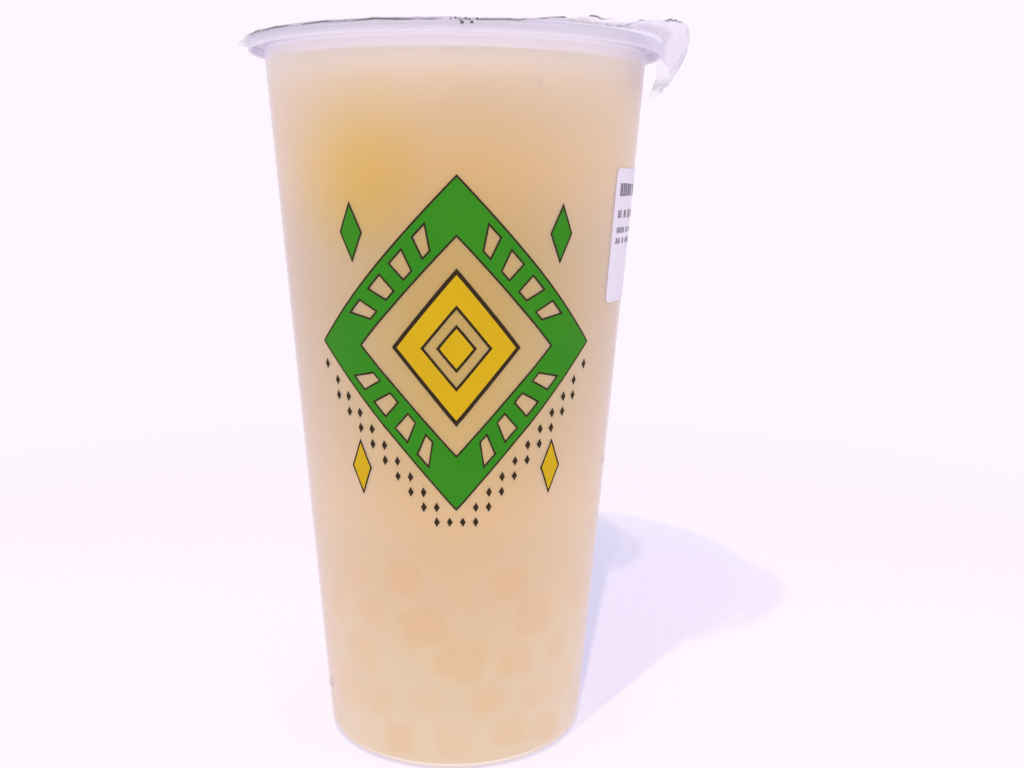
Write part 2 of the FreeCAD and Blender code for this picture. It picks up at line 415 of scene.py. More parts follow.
def add_lamp(name, place, size, power):
    """A square area lamp that points at the cup."""
    let_go()
    bpy.ops.object.light_add(type="AREA", location=place)
    lamp = bpy.context.object
    lamp.name = name
    lamp.data.size = size
    lamp.data.energy = power
    lamp.rotation_euler = (AIM - Vector(place)).to_track_quat("-Z", "Y").to_euler()
    return lamp


NEAR_PLACE = (-0.0550, -0.1980, 0.4680)
HIGH_PLACE = (-0.067, -0.983, 1.286)
SOFT_PLACE = (-0.02, -0.983, 1.286)
# The near lamp's constant falloff is as bright as a plain one at this distance.
MATCHED_AT = 0.50


def link_floor(lamp, link_state):
    """Lets a lamp light nothing but the floor (INCLUDE), or all but the floor (EXCLUDE)."""
    receivers = bpy.data.collections.new(f"{lamp.name}_receivers")
    receivers.objects.link(floor)
    receivers.collection_objects[0].light_linking.link_state = link_state
    lamp.light_linking.receiver_collection = receivers


near_lamp = add_lamp("near_lamp", NEAR_PLACE, size=0.008, power=0.85)
near_lamp.data.color = (0.70, 1.0, 0.12)
near_lamp.data.use_nodes = True
tree = near_lamp.data.node_tree
even = node(tree, "LightFalloff", Strength=1 / MATCHED_AT**2)
tree.links.new(even.outputs["Constant"], tree.nodes["Emission"].inputs["Strength"])
link_floor(near_lamp, "INCLUDE")
high_lamp = add_lamp("high_lamp", HIGH_PLACE, size=0.024, power=11.0)
link_floor(high_lamp, "INCLUDE")
soft_box = add_lamp("soft_box", SOFT_PLACE, size=0.9, power=9.6)
link_floor(soft_box, "EXCLUDE")

# %% [markdown]
# The plastic cup
#
# The real cup is moulded in one shot: a thin tapered wall, a foot ring round a raised base panel, and
# a flat rim with a lip that hangs down outside. The outline is followed once, from the dimple under
# the base, out to the heel, up the wall, over the rim, down the inside and across the floor. Then the
# corners are bevelled, each to its own radius. Bevelling afterwards keeps the outline easy to read.

# %% Model the cup
AROUND = 160
WALL_TURN = 86
PANEL_TURN = 72
HEEL = (BASE_RADIUS, 0)
FOOT = (FOOT_RADIUS, 0)
UNDER_RIM = CUP_TOP - RIM_THICKNESS
LIP_LOW = CUP_TOP - LIP_DEPTH
LIP_INSIDE = RIM_RADIUS - LIP_THICKNESS
MOUTH = (wall_at(CUP_TOP) - WALL, CUP_TOP)
RIM_EDGE = (RIM_RADIUS, CUP_TOP)
FLOOR_CORNER = (wall_at(FLOOR) - WALL, FLOOR)
CHANNEL = (FOOT_RADIUS + PANEL, FLOOR)
PANEL_EDGE = (PANEL_RADIUS + PANEL, PANEL_RISE + PANEL)

outline = [
    (GATE_RADIUS, PANEL_RISE + GATE_DEPTH),
    (GATE_RADIUS, PANEL_RISE),
    (PANEL_RADIUS, PANEL_RISE),
    FOOT,
    HEEL,
    (wall_at(UNDER_RIM), UNDER_RIM),
    (LIP_INSIDE, UNDER_RIM),
    (LIP_INSIDE, LIP_LOW),
    (RIM_RADIUS, LIP_LOW),
    RIM_EDGE,
    MOUTH,
    FLOOR_CORNER,
    CHANNEL,
    PANEL_EDGE,
    (GATE_RADIUS, PANEL_EDGE[1]),
]
cup = first_ring("plastic_cup", *outline[0], AROUND)
pull_rings(outline)
bpy.ops.mesh.select_all(action="SELECT")
bpy.ops.mesh.fill_holes(sides=0)
round_ring(cup, HEEL, HEEL_ROUNDING, turn=WALL_TURN, segments=6)
round_ring(cup, FOOT, EDGE_ROUNDING)
round_ring(cup, FLOOR_CORNER, CORNER_ROUNDING, turn=WALL_TURN, segments=5)
round_ring(cup, CHANNEL, EDGE_ROUNDING, turn=PANEL_TURN, segments=3)
round_ring(cup, PANEL_EDGE, EDGE_ROUNDING, turn=PANEL_TURN, segments=3)
round_ring(cup, RIM_EDGE, EDGE_ROUNDING)
round_ring(cup, MOUTH, EDGE_ROUNDING, turn=WALL_TURN)
round_ring(cup, (RIM_RADIUS, LIP_LOW), LIP_ROUNDING, segments=3)
round_ring(cup, (LIP_INSIDE, LIP_LOW), LIP_ROUNDING, segments=3)
close_up(cup)
tell(cup)

# %% [markdown]
# Finishes
#
# Each finish is a Principled shader. What is the same all over a piece is set on the shader's own
# sockets. What changes over the piece, such as the colour of the drink with its height, is read from
# Object coordinates. Every piece sits at the origin, so Object coordinates are plain metres in the
# cup's own frame.

# %% Helpers for finishes
def new_finish(name, **sockets):
    """A material with one Principled shader, whose sockets are set by name."""
    finish = bpy.data.materials.new(name)
    finish.use_nodes = True
    shader = finish.node_tree.nodes["Principled BSDF"]
    for socket, value in sockets.items():
        shader.inputs[socket.replace("_", " ")].default_value = value
    return finish, finish.node_tree, shader


def blend(tree, factor, first, second, kind="MIX"):
    """Mixes two colours."""
    made = node(tree, "Mix", data_type="RGBA", blend_type=kind)
    for number, value in ((0, factor), (6, first), (7, second)):
        put(tree, value, made.inputs[number])
    return made.outputs[2]


def place_along(tree, axis):
    """How far along X, Y or Z a point of the object lies."""
    return node(tree, "SeparateXYZ", Vector=place_on_object(tree)).outputs[axis]


def squeeze(tree, vector, scales):
    """A vector with each of its three parts scaled."""
    made = node(tree, "VectorMath", operation="MULTIPLY", Vector=vector)
    made.inputs[1].default_value = scales
    return made.outputs[0]


def ramp(tree, factor, stops):
    """A colour ramp through (place, colour) stops."""
    made = node(tree, "ValToRGB", Fac=factor)
    band = made.color_ramp
    while len(band.elements) > 1:
        band.elements.remove(band.elements[-1])
    band.elements[0].position, band.elements[0].color = stops[0]
    for place, colour in stops[1:]:
        band.elements.new(place).color = colour
    return made.outputs["Color"]


def screen_colour(red, green, blue):
    """A colour as a screen's 0 to 255 values gives it, in the linear values that a shader takes."""
    def straight(value):
        value = value / 255
        return value / 12.92 if value <= 0.04045 else ((value + 0.055) / 1.055) ** 2.4

    return straight(red), straight(green), straight(blue), 1.0


def tone_by_height(tree, stops):
    """A colour that changes with height, through (height in mm, screen colour) stops."""
    low, high = stops[0][0] * mm, stops[-1][0] * mm
    places = [((up * mm - low) / (high - low), screen_colour(*colour)) for up, colour in stops]
    return ramp(tree, rescale(tree, place_along(tree, "Z"), low, high), places)


def mottle(tree, scale, stretch=(1, 1, 1), detail=3.0):
    """Soft noise on Object coordinates, in patches per metre."""
    mapping = node(tree, "Mapping", Vector=place_on_object(tree), Scale=stretch)
    return node(tree, "TexNoise", Vector=mapping.outputs[0], Scale=scale, Detail=detail).outputs["Fac"]


def relief(tree, shader, height, distance, strength):
    """Turns a socket into fine relief on the surface."""
    made = node(tree, "Bump", Strength=strength, Distance=distance, Height=height)
    tree.links.new(made.outputs[0], shader.inputs["Normal"])


# %% [markdown]
# Milky polypropylene
#
# The wall is neither clear nor white: it is a thin milky veil over the drink, and it looks denser
# where the eye looks along it. A low alpha that rises with Layer Weight's Facing makes the veil. Alpha
# keeps the light inside even, where a true glass shader would need many more samples to fill the drink
# with light. A touch of cool sheen gives the pale look at the sides. The colour goes with the height:
# warm down the wall, and cool and pale at the rim, with painted shade on the wall just under the lip
# and a painted highlight along the lip's lower edge. Two soft spots on the front are painted warmer
# still, one high on the left and one behind the print: a painted glow, where light that comes through
# the drink would glow. The tea has the same painted spots, so they look deep rather than laid on the
# wall.

# %% Finish the cup
VEIL_DENSITY = (0.35, 0.76)
CUP_GLOW = (1.0, 0.95, 0.46, 1.0)
WALL_TONE = (246, 224, 208)
# The wall is painted darker just under the lip, as shade, and the lip's lower edge is a painted
# highlight.
SHADED_TONE = (234, 224, 236)
LIP_HIGHLIGHT_TONE = (252, 240, 254)
RIM_TONE = (227, 221, 236)
WALL_TONES = (
    (0, WALL_TONE),
    (60, WALL_TONE),
    (110, (242, 216, 200)),
    (150, (245, 222, 206)),
    (158, (240, 226, 220)),
    (159.8, (238, 224, 218)),
    (160.6, (242, 227, 228)),
    (162.4, SHADED_TONE),
    (162.5, LIP_HIGHLIGHT_TONE),
    (162.9, LIP_HIGHLIGHT_TONE),
    (163.1, RIM_TONE),
    (165.2, RIM_TONE),
)
# Two spots of painted glow, where light that comes through the drink would glow.
# The middle and the reach of a spot are in millimetres.
SMALL_SPOT = {"middle": (-19, -37, 133), "squash": (1, 1, 1), "reach": 27}
WIDE_SPOT = {"middle": (0, -42, 103), "squash": (1.25, 1, 0.8), "reach": 48}


def painted_glow_spots(tree):
    """1 at the middle of two spots of painted glow on the front of the wall, falling softly to 0 around
    them.
    """
    glows = []
    for spot in (SMALL_SPOT, WIDE_SPOT):
        away = node(tree, "VectorMath", operation="SUBTRACT", Vector=place_on_object(tree))
        away.inputs[1].default_value = Vector(spot["middle"]) * mm
        length = length_of(tree, squeeze(tree, away.outputs[0], spot["squash"]))
        glows.append(rescale(tree, length, spot["reach"] * mm, 0.0, interpolation_type="SMOOTHSTEP"))
    return maths(tree, "MAXIMUM", *glows)


veil, tree, shader = new_finish(
    "milky_plastic",
    Roughness=0.28,
    Specular_IOR_Level=0.35,
    Sheen_Weight=0.35,
    Sheen_Roughness=0.4,
    Sheen_Tint=(0.60, 0.62, 1.0, 1.0),
)
wall_and_rim = tone_by_height(tree, WALL_TONES)
wall_with_painted_glow = blend(tree, painted_glow_spots(tree), wall_and_rim, CUP_GLOW, "MULTIPLY")
tree.links.new(wall_with_painted_glow, shader.inputs["Base Color"])
facing = node(tree, "LayerWeight", Blend=0.5).outputs["Facing"]
tree.links.new(rescale(tree, facing, 0, 1, *VEIL_DENSITY), shader.inputs["Alpha"])
relief(tree, shader, mottle(tree, 900, detail=2.0), 0.02 * mm, 0.2)
cup.data.materials.append(veil)
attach(cup, "root")
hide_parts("cup")

# %% [markdown]
# The milk tea
#
# What fills a glass or a cup must leave no air gap, or a bright line shows where the wall ends. So
# this piece is the CAD's filling grown by a hair into the wall. Its lower wall has narrow rings,
# because that is where the jelly will show, and its surface climbs a little at the plastic.

# %% Model the milk tea
TEA_AROUND = 192
BITE = 0.15 * mm
JELLY_TOP = 58 * mm
FIRST_RING = 3 * mm
FINE, COARSE = 1.2 * mm, 6 * mm
CLIMB = 0.5 * mm

tea_floor = FLOOR - BITE
tea_panel = PANEL_EDGE[1] - BITE


def tea_wall(height):
    """The outside radius of the drink: the inside of the wall, and a hair more."""
    return wall_at(height) - WALL + BITE


tea_corner = (tea_wall(tea_floor), tea_floor)
tea_channel = (CHANNEL[0] - BITE, tea_floor)
tea_edge = (PANEL_EDGE[0] - BITE, tea_panel)
panel_rings = [(tea_edge[0] * part / 12, tea_panel) for part in range(1, 13)]
wall_rings = [(tea_wall(FIRST_RING), FIRST_RING)]
for spacing, stop in ((FINE, JELLY_TOP), (COARSE, TEA_LEVEL - 2 * COARSE)):
    while wall_rings[-1][1] < stop:
        up = wall_rings[-1][1] + spacing
        wall_rings.append((tea_wall(up), up))
top = TEA_LEVEL + CLIMB
surface_rings = [
    (tea_wall(top), top),
    (tea_wall(top) - 0.5 * mm, TEA_LEVEL + 0.25 * mm),
    (tea_wall(top) - 1.2 * mm, TEA_LEVEL + 0.06 * mm),
    (tea_wall(top) - 2.4 * mm, TEA_LEVEL),
    (30 * mm, TEA_LEVEL),
    (15 * mm, TEA_LEVEL),
    (3 * mm, TEA_LEVEL),
]
tea = first_ring("iced_milk_tea", *panel_rings[0], TEA_AROUND)
pull_rings(panel_rings + [tea_channel, tea_corner] + wall_rings + surface_rings)
bpy.ops.mesh.select_all(action="SELECT")
bpy.ops.mesh.fill_holes(sides=0)
round_ring(tea, tea_corner, CORNER_ROUNDING, turn=WALL_TURN)
close_up(tea)
tell(tea)

# %% [markdown]
# The jelly cubes
#
# Cubes of tea jelly lie in the lower third of the cup. One cube is modelled: bevelled corners, and
# sides that swell a little, as jelly does. It is then copied, each copy with its own mesh, turned and
# set down in layers. The outermost cubes rest against the wall, and those are the ones that show. Jelly
# is soft, so a cube that would reach past the wall or the floor is pressed flat against it.

# %% Model one jelly cube
let_go()
bpy.ops.mesh.primitive_cube_add(size=1.0)
jelly_cube = bpy.context.object
bpy.ops.object.mode_set(mode="EDIT")
bpy.ops.mesh.select_all(action="SELECT")
bpy.ops.mesh.bevel(offset=0.14, segments=2, affect="EDGES")
bpy.ops.mesh.select_all(action="SELECT")
bpy.ops.transform.tosphere(value=0.08, center_override=(0, 0, 0))
let_go()
print("one cube:", len(jelly_cube.data.polygons), "faces")

# %% Helpers for copies
def set_down(pattern, place):
    """Copies a piece, with its own mesh, to the place that a matrix gives."""
    copy = pattern.copy()
    copy.data = pattern.data.copy()
    bpy.context.collection.objects.link(copy)
    copy.matrix_world = place
    return copy


def join_up(copies, name, pattern):
    """Joins copies into one named piece, and throws away what they were copied from."""
    let_go()
    for copy in copies:
        copy.select_set(True)
    bpy.context.view_layer.objects.active = copies[0]
    bpy.ops.object.join()
    piece = bpy.context.object
    piece.name = name
    settle(piece)
    bpy.data.objects.remove(pattern)
    return piece


# %% Lay the cubes in the cup
LAYERS = 5
LOW_LAYER = tea_panel + 4.8 * mm
HIGH_LAYER = 47.0 * mm
LEFT_OUT = 0.22
CUBE_SIZE = (6.0 * mm, 9.2 * mm)
BEHIND_WALL = (-0.7 * mm, 2.3 * mm)
RINGS = ((1.00, 16), (0.60, 10), (0.22, 4))
PRESSED = 0.2 * mm
draw = random.Random(7)


def lay_cube(angle, height, size, depth, share):
    """Copies the cube to a place: an angle round the cup, a height, and a depth behind the wall."""
    reach = (tea_wall(height) - size / 2 - depth) * share
    lean = [math.radians(draw.uniform(-30, 30)), math.radians(draw.uniform(-10, 10))]
    stretch = [draw.uniform(0.86, 1.14) for _ in range(3)]
    return set_down(
        jelly_cube,
        Matrix.Rotation(angle, 4, "Z")
        @ Matrix.Translation((reach, 0, height))
        @ Matrix.Rotation(lean[0], 4, "X")
        @ Matrix.Rotation(lean[1], 4, "Y")
        @ Matrix.Diagonal([size * part for part in stretch] + [1]),
    )


cubes = []
for layer in range(LAYERS):
    level = LOW_LAYER + (HIGH_LAYER - LOW_LAYER) * layer / (LAYERS - 1)
    for share, count in RINGS:
        for number in range(count):
            if layer == LAYERS - 1 and draw.random() < LEFT_OUT:
                continue
            angle = (number + 0.5 * (layer % 2) + draw.uniform(-0.16, 0.16)) * math.tau / count
            height = level + draw.uniform(-1.4, 1.4) * mm
            size = draw.uniform(*CUBE_SIZE)
            cubes.append(lay_cube(angle, height, size, draw.uniform(*BEHIND_WALL), share))
print(len(cubes), "cubes")
jelly = join_up(cubes, "jelly_cubes", jelly_cube)
for vert in jelly.data.vertices:
    vert.co.z = max(vert.co.z, tea_panel + PRESSED)
    widest = tea_wall(vert.co.z) - PRESSED
    if vert.co.xy.length > widest:
        vert.co.xy = vert.co.xy.normalized() * widest
bpy.ops.object.shade_smooth_by_angle(angle=math.radians(50))
tell(jelly)

# %% Finish the jelly
def mottled_tone(tree, shader, patches, first, second):
    """Gives a shader a base colour that wanders between two screen colours."""
    tone = blend(tree, patches, screen_colour(*first), screen_colour(*second))
    tree.links.new(tone, shader.inputs["Base Color"])


jelly_finish, tree, shader = new_finish("tea_jelly", Roughness=0.25)
mottled_tone(tree, shader, mottle(tree, 120), (214, 160, 96), (228, 178, 120))
jelly.data.materials.append(jelly_finish)
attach(jelly, "root")

# %% [markdown]
# The colour of the tea
#
# Milk tea is cloudy: a cube that touches the wall shows as an amber patch with soft edges, and one
# that lies two or three millimetres deep hardly shows at all. Each point of the drink's skin stores
# how near the closest cube is, as an attribute, and the finish reads it. The rest of the colour goes
# with the height: paler under the surface, as painted light from above, and at the base, and deepest
# at the middle of the cup. The cup's two spots of painted glow are multiplied in.

# %% Store how near the jelly is
CLOUDY = 1.5 * mm

nearness = tea.data.attributes.new("jelly_nearness", "FLOAT", "POINT")
touched = 0
for vert in tea.data.vertices:
    _, spot, _, _ = jelly.closest_point_on_mesh(vert.co)
    gap = (vert.co - spot).length
    value = min(1.0, max(0.0, 1.15 - gap / CLOUDY))
    nearness.data[vert.index].value = value * value * (3 - 2 * value)
    touched += value > 0.3
print(touched, "of", len(tea.data.vertices), "points lie near a cube")

# %% Finish the tea
TEA_GLOW = (1.0, 0.84, 0.12, 1.0)
CLOUDING = 0.6
# Paler towards the surface: painted light from above.
TEA_TONES = (
    (0, (226, 207, 162)),
    (9, (226, 206, 162)),
    (14, (222, 199, 148)),
    (26, (221, 196, 138)),
    (33, (220, 191, 122)),
    (38, (218, 184, 106)),
    (44, (216, 179, 90)),
    (54, (212, 175, 86)),
    (62, (219, 177, 92)),
    (85, (192, 158, 82)),
    (100, (180, 148, 66)),
    (120, (180, 148, 70)),
    (137, (214, 171, 66)),
    (145, (214, 181, 108)),
    (148, (216, 186, 132)),
    (151, (220, 194, 148)),
    (154, (230, 203, 164)),
    (157, (243, 224, 202)),
    (160.5, (252, 244, 236)),
)
JELLY_TONES = ((12, (221, 182, 96)), (30, (218, 172, 66)), (44, (212, 158, 16)))

tea_finish, tree, shader = new_finish("milk_tea", Roughness=0.4, Specular_IOR_Level=0.05)
by_height = tone_by_height(tree, TEA_TONES)
# The drink gets the same painted glow as the wall.
tea_with_painted_glow = blend(tree, painted_glow_spots(tree), by_height, TEA_GLOW, "MULTIPLY")
cloudy = blend(tree, mottle(tree, 45), screen_colour(255, 250, 246), screen_colour(236, 232, 228))
tinted = blend(tree, CLOUDING, tea_with_painted_glow, cloudy, "MULTIPLY")
near = node(tree, "Attribute", attribute_name="jelly_nearness").outputs["Fac"]
with_jelly = blend(tree, near, tinted, tone_by_height(tree, JELLY_TONES))
tree.links.new(with_jelly, shader.inputs["Base Color"])
tea.data.materials.append(tea_finish)
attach(tea, "root")
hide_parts("milk_tea")

# %% [markdown]
# The sealing film
#
# A machine welds a clear film to the rim and trims it just outside. The trimmed edge is never quite
# round: it curls up at the front right, has a small tab on the left, and one corner hangs down on the
# right. The sheet is extruded ring by ring like the cup. Its loose edge is a free curve, which
# scaling alone can't give, so each ring of it is laid along the same guide points as the CAD's film.
# The edges along the fold over the hanging corner are kept in a vertex group, for the cut edge.
# Solidify gives the thickness at the end.

# %% Guide points of the film's loose edge
FILM = 0.13 * mm
FILM_LOW = CUP_TOP + 0.03 * mm
WELD_RADIUS = RIM_RADIUS - 1.2 * mm
# Where a part of the edge lies and how far it spreads are in degrees, and the rest in millimetres.
FLAP = {"angle": -20, "spread": 34, "reach": 9.4, "lift": 9.3, "drop": 11.8, "tuck": 11.8}
FLARE = {"angle": -50, "spread": 34, "reach": 2.6, "lift": 1.2}
TAB = {"angle": 180, "spread": 12, "reach": 2.0}
TRIM_REACH, TRIM_DROP = 0.7, 0.5


def swell(angle, part):
    """1 at the middle of a part of the edge, falling smoothly to 0 at its ends."""
    away = abs((angle - part["angle"] + 180) % 360 - 180)
    return math.cos(math.pi / 2 * away / part["spread"]) ** 2 if away < part["spread"] else 0.0


def edge_guides(angle):
    """Four (radius, height) guide points of the film's loose edge at an angle in degrees."""
    flap, flare, tab = swell(angle, FLAP), swell(angle, FLARE), swell(angle, TAB)
    reach = flare * FLARE["reach"] + tab * TAB["reach"] + flap * FLAP["reach"]
    lift = flare * FLARE["lift"]
    offsets = (
        (0.4 + 0.8 * reach, flap * FLAP["lift"] + 0.5 * lift),
        (0.6 + reach, lift - 0.1 * flap * FLAP["drop"]),
        (
            TRIM_REACH + reach - flap**2 * FLAP["tuck"],
            lift * (1 - flap) - TRIM_DROP * (1 - flare) - flap * FLAP["drop"],
        ),
    )
    rest = [(RIM_RADIUS + out * mm, FILM_LOW + up * mm) for out, up in offsets]
    return [(WELD_RADIUS, FILM_LOW)] + rest


def edge_place(angle, part):
    """The point of the loose edge at an angle, from 0 at the weld to 1 at the cut edge."""
    weights = (
        (1 - part) ** 3,
        3 * part * (1 - part) ** 2,
        3 * part**2 * (1 - part),
        part**3,
    )
    guides = edge_guides(angle)
    radius = sum(weight * guide[0] for weight, guide in zip(weights, guides))
    height = sum(weight * guide[1] for weight, guide in zip(weights, guides))
    turn = math.radians(angle)
    return Vector((radius * math.cos(turn), radius * math.sin(turn), height))


print("edge at the front:", tuple(round(value / mm, 1) for value in edge_place(-90, 1)))

# %% Model the film
FILM_AROUND = 360
LOOSE_RINGS = 12
LOOSE_STEP = 0.1 * mm
FOLD_RING = 4
FOLD_FROM, FOLD_TO = -53, -23

flat_rings = [(radius * mm, FILM_LOW) for radius in (4, 12, 20, 28, 35, 40, 43, 44.6)]
flat_rings.append((WELD_RADIUS, FILM_LOW))
loose_rings = [(WELD_RADIUS + LOOSE_STEP * number, FILM_LOW) for number in range(1, LOOSE_RINGS + 1)]
film = first_ring("sealed_film", *flat_rings[0], FILM_AROUND)
pull_rings(flat_rings + loose_rings)
pick_ring(film, flat_rings[0])
bpy.ops.mesh.fill()
let_go()
film.vertex_groups.new(name="fold")
for vert in film.data.vertices:
    steps = round((vert.co.xy.length - WELD_RADIUS) / LOOSE_STEP)
    if steps > 0:
        angle = math.degrees(math.atan2(vert.co.y, vert.co.x))
        vert.co = edge_place(angle, steps / LOOSE_RINGS)
        if steps == FOLD_RING and FOLD_FROM < angle < FOLD_TO:
            film.vertex_groups["fold"].add([vert.index], 1.0, "REPLACE")
tell(film)

# %% [markdown]
# Creases in the film
#
# Crumpled film is mostly flat, with small ridges and dents. Two Displace modifiers press them in: wide
# folds that lift and drop the edge, then narrow ones along the surface. A vertex group holds them to
# the loose edge, strongest at the raised and hanging parts, so that the weld stays flat.

# %% Crease the film
def apply_modifier(piece, kind, **settings):
    """Adds a modifier to a piece, sets it up by name and applies it."""
    take(piece)
    bpy.ops.object.modifier_add(type=kind)
    modifier = piece.modifiers[-1]
    for name, value in settings.items():
        setattr(modifier, name, value)
    bpy.ops.object.modifier_apply(modifier=modifier.name)


def press_creases(piece, group, fold, depth, direction):
    """Moves the points of a vertex group by soft noise, in folds so wide and so deep."""
    noise = bpy.data.textures.new("creases", "CLOUDS")
    noise.noise_scale = fold
    apply_modifier(
        piece,
        "DISPLACE",
        texture=noise,
        texture_coords="LOCAL",
        direction=direction,
        strength=depth,
        mid_level=0.5,
        vertex_group=group,
    )


loose_edge = film.vertex_groups.new(name="loose_edge")
for vert in film.data.vertices:
    angle = math.degrees(math.atan2(vert.co.y, vert.co.x))
    out = (vert.co.xy.length - RIM_RADIUS + 0.5 * mm) / (1.4 * mm)
    rough = 0.4 + 0.6 * max(swell(angle, FLARE), swell(angle, FLAP))
    loose_edge.add([vert.index], max(0.0, min(1.0, out)) * rough, "REPLACE")
press_creases(film, "loose_edge", fold=4.2 * mm, depth=1.1 * mm, direction="Z")
press_creases(film, "loose_edge", fold=1.5 * mm, depth=0.9 * mm, direction="NORMAL")

# %% [markdown]
# The cut edge
#
# A clear film shows best where it is cut or folded: light leaves the sheet there, and the line looks
# grey. The outer edge of the sheet and the fold over the hanging corner are copied, made a curve, given
# a round section and made a mesh again, so that they follow every crease.

# %% Model the cut edge
EDGE_THICKNESS = 0.34 * mm

take(film)
bpy.ops.object.mode_set(mode="EDIT")
bpy.ops.mesh.select_mode(type="EDGE")
bpy.ops.mesh.select_all(action="DESELECT")
bpy.ops.mesh.select_non_manifold()
film.vertex_groups.active = film.vertex_groups["fold"]
bpy.ops.object.vertex_group_select()
mesh = bmesh.from_edit_mesh(film.data)
print("edges to copy:", sum(edge.select for edge in mesh.edges))
bpy.ops.mesh.duplicate()
bpy.ops.mesh.separate(type="SELECTED")
let_go()
cut_edge = next(item for item in bpy.context.scene.objects if item.name.startswith("sealed_film."))
cut_edge.name = "film_cut_edge"
take(cut_edge)
bpy.ops.object.convert(target="CURVE")
cut_edge.data.bevel_depth = EDGE_THICKNESS / 2
cut_edge.data.bevel_resolution = 1
bpy.ops.object.convert(target="MESH")
bpy.ops.object.mode_set(mode="EDIT")
close_up(cut_edge, smooth=60)
tell(cut_edge)

# %% Give the film its thickness
def thicken(piece, thickness):
    """Gives a sheet its thickness, on its outer side."""
    apply_modifier(piece, "SOLIDIFY", thickness=thickness, offset=1.0)


thicken(film, FILM)
bpy.ops.object.mode_set(mode="EDIT")
close_up(film, smooth=40)
tell(film)

# %% [markdown]
# Clear film and its grey edge
#
# The film is nearly clear over the cup. Outside the weld it stands alone and is crinkled, so there its
# alpha rises and grey streaks cross it: painted shade in its creases. A clear sheet still dims the
# light that passes through, and a low alpha would hide its shadow, so rays that look for a lamp meet a
# fixed alpha. The cut edge is grey along the front, as painted shade where light leaves the sheet, but
# light doesn't catch it all the way: it has a wavering row of gaps on the right, and fades at the
# hanging corner and at the tab.

# %% Finish the film
SHEET_ALPHA = (0.14, 0.19)
SKIRT_ALPHA = 0.40
SHADOW_ALPHA = 0.25
BLACK, WHITE = (0, 0, 0, 1), (1, 1, 1, 1)

film_finish, tree, shader = new_finish("clear_film", Roughness=0.12)
from_axis = length_of(tree, squeeze(tree, place_on_object(tree), (1, 1, 0)))
skirt = ramp(
    tree,
    rescale(tree, from_axis, RIM_RADIUS - 2 * mm, RIM_RADIUS + 8 * mm),
    [(0.15, BLACK), (0.20, WHITE), (0.30, WHITE), (0.44, BLACK)],
)
# The grey streaks are painted shade in the creases of the loose film.
wrinkles = ramp(tree, mottle(tree, 420, stretch=(1, 1, 3)), [(0.35, BLACK), (0.65, WHITE)])
crease_shade_streaks = blend(tree, wrinkles, screen_colour(140, 132, 146), screen_colour(206, 198, 218))
outside = blend(tree, skirt, screen_colour(234, 222, 255), crease_shade_streaks)
tree.links.new(outside, shader.inputs["Base Color"])
facing = node(tree, "LayerWeight", Blend=0.5).outputs["Facing"]
alpha = rescale(tree, facing, 0, 1, *SHEET_ALPHA)
for share, other in (
    (skirt, SKIRT_ALPHA),
    (node(tree, "LightPath").outputs["Is Shadow Ray"], SHADOW_ALPHA),
):
    mixed = node(tree, "Mix", data_type="FLOAT")
    for number, value in ((0, share), (2, alpha), (3, other)):
        put(tree, value, mixed.inputs[number])
    alpha = mixed.outputs[0]
tree.links.new(alpha, shader.inputs["Alpha"])
relief(tree, shader, mottle(tree, 220, detail=1.0), 0.4 * mm, 0.15)
film.data.materials.append(film_finish)
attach(film, "root")
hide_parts("sealing_film")

# %% Finish the cut edge
GAP_PITCH = 4.6 * mm
WAVER = 9 * mm
CLEAR_ALPHA = 0.03
# The edge fades from the first to the second of each pair, along X or down Z.
CORNER_ACROSS, CORNER_DOWN = (27 * mm, 31 * mm), (CUP_TOP + 2.4 * mm, CUP_TOP + 1.0 * mm)
GAPS_ACROSS = (16 * mm, 19 * mm)
TAB_ACROSS = (-43 * mm, -47 * mm)

edge_finish, tree, shader = new_finish("film_edge", Roughness=0.3)
# The grey of the cut edge is painted shade, mottled along it; where it fades, the painted shade is left
# out.
painted_edge_shade = ramp(
    tree,
    mottle(tree, 160, detail=2.0),
    [
        (0.36, screen_colour(100, 94, 102)),
        (0.54, screen_colour(142, 134, 146)),
        (0.66, screen_colour(208, 198, 214)),
    ],
)
across, up = place_along(tree, "X"), place_along(tree, "Z")
under_the_fold = rescale(tree, up, *CORNER_DOWN)
hanging = maths(tree, "MULTIPLY", rescale(tree, across, *CORNER_ACROSS), under_the_fold)
waver = rescale(tree, mottle(tree, 200, detail=1.0), 0, 1, 0, WAVER)
back_and_forth = maths(tree, "PINGPONG", maths(tree, "ADD", across, waver), GAP_PITCH)
ragged = ramp(tree, rescale(tree, back_and_forth, 0, GAP_PITCH), [(0.30, WHITE), (0.40, BLACK)])
gaps = maths(tree, "MULTIPLY", rescale(tree, across, *GAPS_ACROSS), ragged)
tab_end = rescale(tree, across, *TAB_ACROSS)
faded = maths(tree, "MAXIMUM", maths(tree, "MAXIMUM", hanging, gaps), tab_end)
paled = blend(tree, faded, painted_edge_shade, screen_colour(238, 228, 248))
tree.links.new(paled, shader.inputs["Base Color"])
tree.links.new(rescale(tree, faded, 0, 1, 1, CLEAR_ALPHA), shader.inputs["Alpha"])
cut_edge.data.materials.append(edge_finish)
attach(cut_edge, "root")

# %% [markdown]
# Specks in the weld
#
# Where the weld has trapped a little moisture, tiny beads show dark at the front of the rim. They are
# flattened spheres, one modelled and the rest copied, each with its own mesh.

# %% Model the specks
# Each speck is an angle in degrees, a height and a width in millimetres.
SPECKS = (
    (-91.4, 164.75, 0.34),
    (-90.3, 164.95, 0.42),
    (-89.2, 164.45, 0.40),
    (-88.8, 164.10, 0.80),
    (-88.0, 164.85, 0.46),
    (-87.2, 164.60, 0.40),
    (-86.6, 164.15, 0.72),
    (-85.4, 164.85, 0.46),
)

